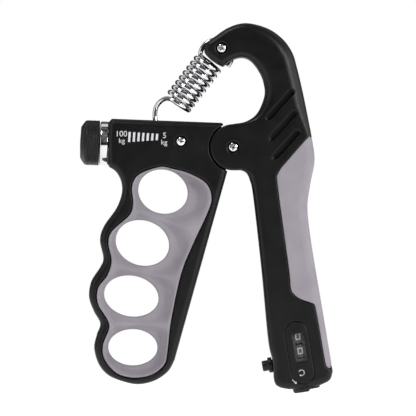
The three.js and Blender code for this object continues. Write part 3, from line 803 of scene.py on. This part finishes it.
def make_nuts():
    for node, body, centre, turn in (("pivot_nut", "palm_handle", PIVOT, 10),
                                     ("hook_nut", "palm_handle", HOOK_SCREW, 44),
                                     ("head_nut", "finger_handle", HEAD_SCREW, 25)):
        nut = field_object("visual_" + node, hex_nut_field, (-3.5, -0.5, -3.5), (3.5, 2.9, 3.5), 0.14)
        nut.data.transform(Matrix.Rotation(math.radians(turn), 4, "Y"))
        finish_piece(nut, body, STEEL, [node], shift(centre[0], NUT_SEAT, centre[1]))


# ---- The load adjuster ----
def make_knob():
    profile = [(-4.25, 6.45), (-4.33, 6.65), (-4.28, 6.95), (-4.0, 7.5), (-3.3, 8.55), (-2.6, 9.5),
               (-2.25, 9.85), (-1.5, 10.08)]
    rib_count = 7
    for i in range(rib_count):
        start = -1.3 + 0.68 * i
        profile += [(start, 10.1), (start + 0.14, 10.02), (start + 0.24, 9.9), (start + 0.34, 9.9),
                    (start + 0.44, 10.02), (start + 0.56, 10.12)]
    profile += [(3.75, 10.1), (4.0, 9.95), (4.1, 9.6), (4.1, 2.6)]
    front = [(-2.6, 0.2), (-2.6, 6.3), (-3.9, 6.42)]

    def knurl(along, radius, angles):
        strength = 0.05 if radius > 9.8 and along > -1.4 else 0.0
        return strength * np.cos(72 * angles)
    knob = turned("visual_adjuster_knob", front + profile, "x", 288, knurl)
    finish_piece(knob, "knob", KNOB_BLACK, ["adjuster_knob"], HEAD_MATRIX)


def make_knob_cap():
    profile = [(-2.5, 0.1), (-2.5, 5.9), (-3.85, 6.15), (-4.05, 6.05), (-4.2, 5.7), (-4.33, 4.9),
               (-4.45, 3.6), (-4.54, 2.0), (-4.57, 0.1)]
    cap = turned("visual_knob_cap", profile[::-1], "x", 96)
    finish_piece(cap, "knob", BLACK, ["knob_cap"], HEAD_MATRIX)


def make_collar():
    profile = bevelled([(4.4, 2.5), (4.4, 9.3), (4.75, 9.75), (7.9, 9.75), (8.2, 9.3), (8.2, 2.5)], 0.3)
    collar = turned("visual_collar_sleeve", profile, "x", 128)
    finish_piece(collar, "finger_handle", CHROME, ["collar_sleeve"], HEAD_MATRIX)


def make_spindle():
    profile = [(-2.2, 0.1), (-2.2, 2.2), (13.9, 2.2), (14.0, 3.9), (15.2, 4.0), (15.3, 2.2)]
    pitch = 1.5625
    turns = int((37.2 - 16) / pitch)
    for i in range(turns):
        start = 16 + pitch * i
        profile += [(start, 2.2), (start + 0.55, 2.2), (start + 0.85, 1.75), (start + 1.15, 1.75)]
    profile += [(37.3, 2.1), (37.5, 1.9), (37.5, 0.1)]
    spindle = turned("visual_load_spindle", profile, "x", 48)
    finish_piece(spindle, "knob", STEEL, ["load_spindle"], HEAD_MATRIX)


def make_carriage():
    def field(x, y, z):
        block = slab(np.maximum(between(x, 28.3, 37.3), between(z, -4.2, 9.1)), y, 5.8, 0.5)
        block = cut(block, np.maximum(np.abs(y) - 1.8, 2.2 - z), 0.4)
        block = cut(block, np.hypot(x - PIN_U, z - PIN_W) - 1.45, 0.2)
        return cut(block, np.hypot(y, z) - 2.45, 0.2)
    block = field_object("visual_carriage_block", field, (27.8, -6.2, -4.7), (37.8, 6.2, 9.6), 0.3)
    finish_piece(block, "carriage", STEEL, ["carriage_block"], HEAD_MATRIX)
    profile = bevelled([(-5.6, 0.1), (-5.6, 1.3), (5.6, 1.3), (5.6, 0.1)], 0.2)
    pin = turned("visual_carriage_pin", profile, "y", 40)
    pin.data.transform(shift(PIN_U, 0, PIN_W))
    finish_piece(pin, "carriage", CHROME, ["carriage_pin"], HEAD_MATRIX)


# ---- The tension spring ----
COIL_RADIUS = 5.87
COIL_TURNS = 8.5
WIRE_CAP = ((0.93, 0.09), (0.7, 0.2), (0.05, 0.23))  # the rings that round a cut end: size, reach
COIL_TOP = np.array([1.3, 0.0, 149.1])
COIL_BOTTOM = np.array([-12.9, 0.0, 130.5])
COIL_SPLIT = 4.9  # turns that stretch with the squeeze; the rest stretch with the load setting
COIL_AXIS = COIL_BOTTOM - COIL_TOP
COIL_SIDE = np.array([COIL_AXIS[2], 0.0, -COIL_AXIS[0]]) / np.linalg.norm(COIL_AXIS)


def coil(start, end, per_turn=40):
    turn = np.linspace(start, end, max(2, int((end - start) * per_turn)))
    angle = math.pi / 2 + 2 * math.pi * turn
    points = COIL_TOP + np.outer(turn / COIL_TURNS, COIL_AXIS)
    points = points + COIL_RADIUS * np.outer(np.cos(angle), COIL_SIDE)
    points[:, 1] += COIL_RADIUS * np.sin(angle)
    return points


def wire_rings(path, radius, sides=20):
    """Rings of vertices along a path, turned as little as possible, with rounded cut ends."""
    tangent = np.gradient(path, axis=0)
    tangent /= np.linalg.norm(tangent, axis=1)[:, None]
    normal = np.cross(tangent[0], (0.3, 1.0, 0.2))
    angles = np.linspace(0, 2 * math.pi, sides, endpoint=False)
    rings = []
    for centre, t in zip(path, tangent):
        normal = normal - t * (normal @ t)
        normal /= np.linalg.norm(normal)
        across = np.cross(t, normal)
        rings.append(centre + radius * (np.outer(np.cos(angles), normal) + np.outer(np.sin(angles), across)))
    for end, centre, t in ((0, path[0], -tangent[0]), (-1, path[-1], tangent[-1])):
        base = rings[end] - centre
        for scale, ahead in WIRE_CAP:
            cap = centre + scale * base + ahead * radius * t
            if end == 0:
                rings.insert(0, cap)
            else:
                rings.append(cap)
    return np.array(rings)


def tube(name, rings):
    rows, sides = rings.shape[:2]
    return mesh_object(name, rings.reshape(-1, 3), side_faces(rows, sides))


def make_spring():
    """One wire, cut where it passes from one moving length to the next."""
    loop = [(x, 0, z) for x, z in arc(EYE, EYE_RADIUS, -42, 168, 40)]
    lead = [(-2.5, 1.9, 152.1), (-1, 4.6, 150.7), tuple(coil(0, 0.05)[0])]
    hook = [(-15.4, -4.9, 132.2), (-18.1, -2.7, 132.7), (-20.7, -0.9, 131.3), (-22.5, -0.1, 128.9),
            (-23.1, 0, 126), (-22.9, 0, 123), (-22.3, 0, 120.4), (-21.6, 0, 118),
            (-20.9, 0, 116.4), (-19.2, 0, 115.7), (-17.4, 0, 116.4), (-16.7, 0, 117.9)]
    eye = wire_path(loop + lead)[:-1]
    upper, lower = coil(0, COIL_SPLIT), coil(COIL_SPLIT, COIL_TURNS)
    tail = wire_path([tuple(lower[-1])] + hook)
    rings = wire_rings(np.vstack([eye, upper[:-1], lower[:-1], tail]), WIRE_RADIUS)
    first = len(WIRE_CAP) + len(eye)
    second = first + len(upper) - 1
    split = COIL_TOP + COIL_AXIS * COIL_SPLIT / COIL_TURNS
    spans = (("loop", rings[:first + 1], ["spring_loop"], None),
             ("upper", rings[first:second + 1], ["spring_upper", "spring_middle"],
              ("spring_top", "spring_mid", COIL_TOP, split)),
             ("lower", rings[second:], ["spring_lower"],
              ("spring_mid", "spring_hook", split, COIL_BOTTOM)))
    for part, span, nodes, carried in spans:
        thing = tube("visual_spring_" + part, span)
        thing.data.materials.append(CHROME)
        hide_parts(*nodes)
        if carried:
            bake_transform(thing)
        else:
            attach(thing, "spring_eye")


# ---- The repetition counter ----
def window_shape(u, w, half_width, half_height, middle=WINDOW_W):
    return np.maximum(np.abs(u - WHEEL_X) - half_width, np.abs(w - middle) - half_height)


def make_bezel():
    def field(u, y, w):
        plate = bezel_shape(u, w, BEZEL_RADIUS)
        crown = -11.5 + 0.5 * (u / BEZEL_RADIUS) ** 2
        solid = smax(plate, np.maximum(crown - y, y + 10.3), 0.5)
        return cut(solid, window_shape(u, w, 2.7, 6.3), 0.35)
    bezel = field_object("visual_counter_bezel", field, (-6, -12, -14.6), (6, -9.8, 14.6), 0.2)
    finish_piece(bezel, "palm_handle", BLACK, ["counter_bezel"], COUNTER_MATRIX)


def make_window():
    glass = material("smoked_window", (0.02, 0.02, 0.022), 0.08, Alpha=0.14)
    vary(glass, add_noise(glass, 500, 3), "Roughness", 0.05, 0.14)

    def field(u, y, w):
        return slab(window_shape(u, w, 3.3, 7), y + 9.8, 0.3, 0.15)
    window = field_object("visual_counter_window", field, (-3.5, -10.5, -5.6), (4.3, -9.1, 9.8), 0.2)
    finish_piece(window, "palm_handle", glass, ["counter_window"], COUNTER_MATRIX)


def make_window_frame():
    """The dial plate behind the window: it shows one digit of each wheel and hides the ratchet."""
    nylon = moulded_plastic("dial_nylon", (0.11, 0.11, 0.115), (0.5, 0.62))

    def field(u, y, w):
        plate = slab(window_shape(u, w, 3.1, 6.8), y + 9.35, 0.12, 0.05)
        return cut(plate, window_shape(u, w, 1.62, 6.5, 3.75), 0.08)
    plate = field_object("visual_dial_plate", field, (-3.2, -9.7, -5.2), (4.0, -9.0, 9.4), 0.14)
    finish_piece(plate, "palm_handle", nylon, place=COUNTER_MATRIX)


def text_mesh(name, words, size, thickness=0.03):
    """Printed characters as a thin mesh in the XZ plane, centred, facing -Y."""
    curve = bpy.data.curves.new(name, "FONT")
    curve.body = words
    curve.size = size
    curve.align_x, curve.align_y = "CENTER", "CENTER"
    curve.extrude = thickness / 2
    curve.resolution_u = 6
    holder = bpy.data.objects.new(name, curve)
    bpy.context.collection.objects.link(holder)
    bpy.context.view_layer.update()
    depsgraph = bpy.context.evaluated_depsgraph_get()
    mesh = bpy.data.meshes.new_from_object(holder.evaluated_get(depsgraph))
    bpy.data.objects.remove(holder)
    mesh.transform(Matrix.Scale(MM, 4))
    mesh.transform(Matrix.Rotation(math.pi / 2, 4, "X"))
    thing = bpy.data.objects.new(name, mesh)
    bpy.context.collection.objects.link(thing)
    return thing


# A digit's strokes: a to f run clockwise round it from the top, and g is the middle one.
DIGIT_STROKES = ["abcdef", "bc", "abged", "abgcd", "fgbc", "afgcd", "afgedc", "abc", "abcdefg", "abcfgd"]
DIGIT_WIDTH, DIGIT_HEIGHT, DIGIT_STROKE, DIGIT_RADIUS = 2.9, 2.4, 0.52, 4.9


def curved_tile(x1, x2, y1, y2, steps=4):
    """A thin tile on the wheel's rim, from x1 to x2 along it and from y1 to y2 round it."""
    rows = []
    for turn in np.linspace(y1, y2, steps + 1) / DIGIT_RADIUS:
        for radius, along in ((-0.1, x1), (-0.1, x2), (0.02, x2), (0.02, x1)):
            r = DIGIT_RADIUS + radius
            rows.append((r * math.sin(turn), -r * math.cos(turn), -along))
    faces = [(3, 2, 1, 0), tuple(4 * steps + i for i in range(4))]
    for row in range(steps):
        for i in range(4):
            j = (i + 1) % 4
            faces.append((4 * row + i, 4 * row + j, 4 * row + 4 + j, 4 * row + 4 + i))
    return rows, faces


def digit_mesh(name, digit):
    w, h, s = DIGIT_WIDTH / 2, DIGIT_HEIGHT / 2, DIGIT_STROKE
    tiles = {
        "a": (-w, w, h - s, h), "b": (w - s, w, 0, h - s), "c": (w - s, w, s - h, 0),
        "d": (-w, w, -h, s - h), "e": (-w, s - w, s - h, 0), "f": (-w, s - w, 0, h - s),
        "g": (s - w, w - s, -s / 2, s / 2),
    }
    vertices, faces = [], []
    for stroke in DIGIT_STROKES[digit]:
        rows, tile_faces = curved_tile(*tiles[stroke])
        faces += [[len(vertices) + i for i in face] for face in tile_faces]
        vertices += rows
    mark = mesh_object(name, np.array(vertices), faces, smooth=False)
    mark.data.transform(Matrix.Rotation(math.radians(-36 * digit), 4, "Z"))
    return mark


def make_digit_wheel(node, body, middle):
    """A digit wheel 5.9 mm wide, and the digits round its rim."""
    nylon = moulded_plastic(node + "_nylon", (0.15, 0.15, 0.155), (0.5, 0.62))
    half, bore = 2.95, 1.9
    profile = bevelled([(-half, bore), (-half, DIGIT_RADIUS), (half, DIGIT_RADIUS), (half, bore)])
    wheel = turned("visual_" + node, profile, "z", 80)
    digits = [digit_mesh("{}_{}".format(node, digit), digit) for digit in range(10)]
    marks = join(digits, "visual_" + node + "_numerals", smooth=False)
    for thing, finish, nodes in ((wheel, nylon, [node]), (marks, DIGIT_INK, [])):
        thing.data.transform(shift(WHEEL_X, WHEEL_Y, middle))
        finish_piece(thing, body, finish, nodes, COUNTER_MATRIX)


def make_reset():
    def field(u, y, w):
        r = np.hypot(u - WHEEL_X, y - WHEEL_Y)
        angle = np.arctan2(y - WHEEL_Y, u - WHEEL_X)
        flutes = 0.12 * np.cos(30 * angle)
        plate = smax(r - 6.0 - flutes, between(w, -17.1, -15.2), 0.7)
        tab = smax(smax(r - 6.0 - flutes, between(w, -18, -16.5), 1.3), u - WHEEL_X - 1.5, 1.3)
        slot = np.maximum(np.abs(y - WHEEL_Y) - 0.55, w + 17.45)
        return cut(smin(plate, tab, 0.3), slot, 0.25)
    knob = field_object("visual_reset_knob", field, (-6.4, -10.8, -18.5), (7.2, 2.8, -14.8), 0.2)
    finish_piece(knob, "reset", KNOB_BLACK, ["reset_knob"], COUNTER_MATRIX)
    profile = bevelled([(-16, 0.1), (-16, 1.5), (12.3, 1.5), (12.3, 0.1)])
    shaft = turned("visual_reset_shaft", profile, "z", 40)
    shaft.data.transform(shift(WHEEL_X, WHEEL_Y, 0))
    finish_piece(shaft, "reset", STEEL, ["reset_shaft"], COUNTER_MATRIX)


def make_button():
    profile = [(-17.55, 0.1), (-17.52, 1.4), (-17.48, 2.0), (-17.3, 2.3), (-17.0, 2.4), (-12.1, 2.4),
               (-12.05, 2.9), (-10.95, 2.9), (-10.9, 1.1), (-7.7, 1.1), (-7.6, 1.0), (-7.6, 0.1)]
    plunger = turned("visual_count_button", profile, "x", 64)
    ring_profile = bevelled([(-14.8, 2.7), (-14.8, 3.3), (-14.5, 3.45), (-12.9, 3.45), (-12.9, 2.7)], 0.15)
    ring = turned("visual_button_bush", ring_profile, "x", 64, closed=True)
    for thing, body, node in ((plunger, "button", "count_button"), (ring, "palm_handle", "button_bush")):
        thing.data.transform(shift(0, 0, BUTTON_W))
        finish_piece(thing, body, KNOB_BLACK, [node], COUNTER_MATRIX)


def make_button_spring():
    """The return spring, made at rest: in the counter it shortens towards the frame as the button goes in.
    """
    turns, coil_radius, wire_radius, outer_end, inner_end = 3.0, 1.95, 0.3, -10.2, -7.7
    t = np.linspace(0, 1, int(turns * 32))
    angle = 2 * math.pi * turns * t
    path = np.stack([outer_end + (inner_end - outer_end) * t,
                     coil_radius * np.cos(angle), coil_radius * np.sin(angle) + BUTTON_W], 1)
    spring = tube("visual_button_spring", wire_rings(path, wire_radius, 12))
    finish_piece(spring, "palm_handle", STEEL, ["button_spring"], COUNTER_MATRIX)
    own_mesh(spring)


# ---- Printing ----
def flat_print(name, outlines, front=HALF_DEPTH, depth=0.02, root=0.2):
    """Printed shapes that stand depth off a front face and reach root into it, as (x, z) outlines."""
    vertices, faces = [], []
    for outline in outlines:
        start = len(vertices)
        count = len(outline)
        vertices += [(x, -front - depth, z) for x, z in outline]
        vertices += [(x, root - front, z) for x, z in outline]
        faces.append([start + i for i in range(count)])
        faces.append([start + count + i for i in range(count)][::-1])
        for i in range(count):
            j = (i + 1) % count
            faces.append([start + j, start + i, start + count + i, start + count + j])
    return mesh_object(name, vertices, faces, smooth=False)


def make_scale():
    """Seven bars that shorten towards the light end of the load scale."""
    bars = []
    count, pitch, half_width, lean = 7, 2.058, 0.5, 0.14
    for i in range(count):
        x = -34.45 + pitch * i
        half = (4.5 - 1.6 * i / (count - 1)) / 2
        low, high = SCALE_Z - half, SCALE_Z + half
        bars.append([(x - half_width - lean, low), (x + half_width - lean, low),
                     (x + half_width + lean, high), (x - half_width + lean, high)])
    scale = flat_print("load_scale_bars", bars)
    finish_piece(scale, "finger_handle", PRINT)
    words = [("100", 3.6, -38.1, 116.7), ("kg", 3.1, -37.9, 113.6), ("5", 3.6, -18.7, 115.95),
             ("kg", 3.2, -18.9, 112.9)]
    marks = []
    for i, (word, size, x, z) in enumerate(words):
        mark = text_mesh("scale_mark_{}".format(i), word, size)
        mark.data.transform(shift(x, -HALF_DEPTH - 0.01, z))
        marks.append(mark)
    label = join(marks, "load_scale_numbers", smooth=False)
    finish_piece(label, "finger_handle", PRINT)


def ring_arrow(middle, radius, start, end, width, head):
    """A band of an arc, and the arrow head at its end; the angles are in degrees."""
    outer = arc(middle, radius + width / 2, start, end, 24)
    inner = arc(middle, radius - width / 2, end, start, 24)
    turn = math.copysign(math.degrees(1.3 * head / radius), end - start)
    corners = ((radius + head, end), (radius - head, end), (radius, end + turn))
    point = [arc(middle, reach, angle, angle, 1) for reach, angle in corners]
    return [np.vstack([outer, inner]).tolist(), np.vstack(point).tolist()]


def make_reset_marks():
    """A turning arrow on the bezel, and a small arrow beside the reset knob."""
    turning = flat_print("reset_mark_turn", ring_arrow((-0.7, -9.1), 1.25, 150, -110, 0.27, 0.5), 11.48)
    beside = flat_print("reset_mark_arrow", ring_arrow((0, -8.75), 5.9, 208, 226, 0.3, 0.6))
    for mark in (turning, beside):
        finish_piece(mark, "palm_handle", PRINT, place=COUNTER_MATRIX)


# ---- Hidden pieces that keep their CAD shape ----
def dress_cad_nodes():
    finishes = {
        "counter_frame": STEEL, "spring_eye_bush": STEEL,
        "ratchet_wheel": BRASS, "pivot_bush": BRASS, "thrust_washer": BRASS,
    }
    for node, finish in finishes.items():
        for place in frame["nodes"][node].material_slots:
            place.link = "OBJECT"
            place.material = finish


# ---- Floor, light and camera ----
def make_stage():
    white = material("floor_white", (0.6, 0.6, 0.6), 0.8, Emission_Strength=0.8)
    white.node_tree.nodes["Principled BSDF"].inputs["Emission Color"].default_value = (1, 1, 1, 1)
    vary(white, add_noise(white, 8, 2), "Base Color", (0.59, 0.59, 0.59), (0.61, 0.61, 0.61))
    radius, sides = 600, 63
    rim = [(x, y, -FLOOR_DROP) for x, y in arc((0, 0), radius, 0, 360, sides + 1)[:-1]]
    floor = mesh_object("studio_floor", rim, [range(sides)])
    floor.data.materials.append(white)


def area_light(name, place, target, size, power):
    data = bpy.data.lights.new(name, "AREA")
    data.shape = "RECTANGLE"
    data.size, data.size_y = size
    data.energy = power
    lamp = bpy.data.objects.new(name, data)
    lamp.location = place
    lamp.rotation_euler = (Vector(target) - Vector(place)).to_track_quat("-Z", "Y").to_euler()
    bpy.context.collection.objects.link(lamp)


def make_lights():
    middle = (0.0, 0.0, 0.085)
    area_light("key_right", (0.6, -0.6, 0.35), middle, (0.35, 0.35), 3.7)
    area_light("side_right", (0.95, -0.15, 0.3), middle, (0.7, 0.7), 2.9)
    area_light("top_left", (-0.3, -0.4, 0.8), middle, (0.3, 0.3), 2.6)
    area_light("fill_left", (-0.8, -0.5, 0.2), middle, (0.35, 0.7), 1.5)
    make_world()


def make_world():
    """A studio: white side walls, a dim room in front and behind, and white where it is seen."""
    world = bpy.data.worlds.new("studio")
    world.use_nodes = True
    tree = world.node_tree
    background = tree.nodes["Background"]
    place = tree.nodes.new("ShaderNodeTexCoord")
    split = tree.nodes.new("ShaderNodeSeparateXYZ")
    wall = tree.nodes.new("ShaderNodeValToRGB")
    for i, (position, level) in enumerate(SIDE_WALLS):
        stop = wall.color_ramp.elements[i] if i < 2 else wall.color_ramp.elements.new(position)
        stop.position, stop.color = position, (level, level, level, 1)
    room = tree.nodes.new("ShaderNodeTexNoise")
    room.inputs["Scale"].default_value = 2.4
    room.inputs["Detail"].default_value = 2.0
    shade = tree.nodes.new("ShaderNodeValToRGB")
    stops = shade.color_ramp.elements
    stops[0].position, stops[0].color = 0.42, (*[ROOM_DARK] * 3, 1)
    stops[1].position, stops[1].color = 0.68, (*[ROOM_GREY] * 3, 1)
    studio = tree.nodes.new("ShaderNodeMix")
    studio.data_type = "RGBA"
    studio.inputs["B"].default_value = (*[ROOM_BRIGHT] * 3, 1)
    seen = tree.nodes.new("ShaderNodeLightPath")
    mix = tree.nodes.new("ShaderNodeMix")
    mix.data_type = "RGBA"
    mix.inputs["B"].default_value = (1, 1, 1, 1)
    links = (
        (place.outputs["Generated"], split.inputs[0]),
        (place.outputs["Generated"], room.inputs["Vector"]),
        (split.outputs["Y"], wall.inputs["Fac"]),
        (room.outputs["Fac"], shade.inputs["Fac"]),
        (wall.outputs["Color"], studio.inputs["Factor"]),
        (shade.outputs["Color"], studio.inputs["A"]),
        (seen.outputs["Is Camera Ray"], mix.inputs["Factor"]),
        (studio.outputs["Result"], mix.inputs["A"]),
        (mix.outputs["Result"], background.inputs["Color"]),
    )
    for output, socket in links:
        tree.links.new(output, socket)
    bpy.context.scene.world = world
    bpy.context.scene.view_settings.view_transform = "Standard"


def make_camera():
    """A long lens straight at the front, with the middle of the view 83.5 mm above the part's foot."""
    distance, front_width, middle_x, middle_z = 3.0, 0.1866, 0.0008, 0.0835
    view_width = front_width * distance / (distance - HALF_DEPTH * MM)
    data = bpy.data.cameras.new("camera")
    data.sensor_width = 36
    data.lens = data.sensor_width * distance / view_width
    data.clip_start = 0.01
    camera = bpy.data.objects.new("camera", data)
    camera.location = (middle_x, -distance, middle_z)
    camera.rotation_euler = (math.pi / 2, 0, 0)
    bpy.context.collection.objects.link(camera)
    bpy.context.scene.camera = camera


CELL = 0.42

make_camera()
make_stage()
make_lights()
make_shells("palm", palm_body_field, (-2.5, -12.4, 0.8), (58.3, 12.4, 167.8))
make_palm_pad()
make_shells("finger", finger_body_field, (-54.4, -12.2, 2.9), (23.6, 12.2, 125.2))
make_finger_liner()
make_screws()
make_nuts()
make_knob()
make_knob_cap()
make_collar()
make_spindle()
make_carriage()
make_spring()
make_bezel()
make_window()
make_window_frame()
make_digit_wheel("digit_wheel_tens", "tens_wheel", TENS_W)
make_digit_wheel("digit_wheel_units", "units_wheel", UNITS_W)
make_reset()
make_button()
make_button_spring()
make_scale()
make_reset_marks()
dress_cad_nodes()

bpy.context.view_layer.update()
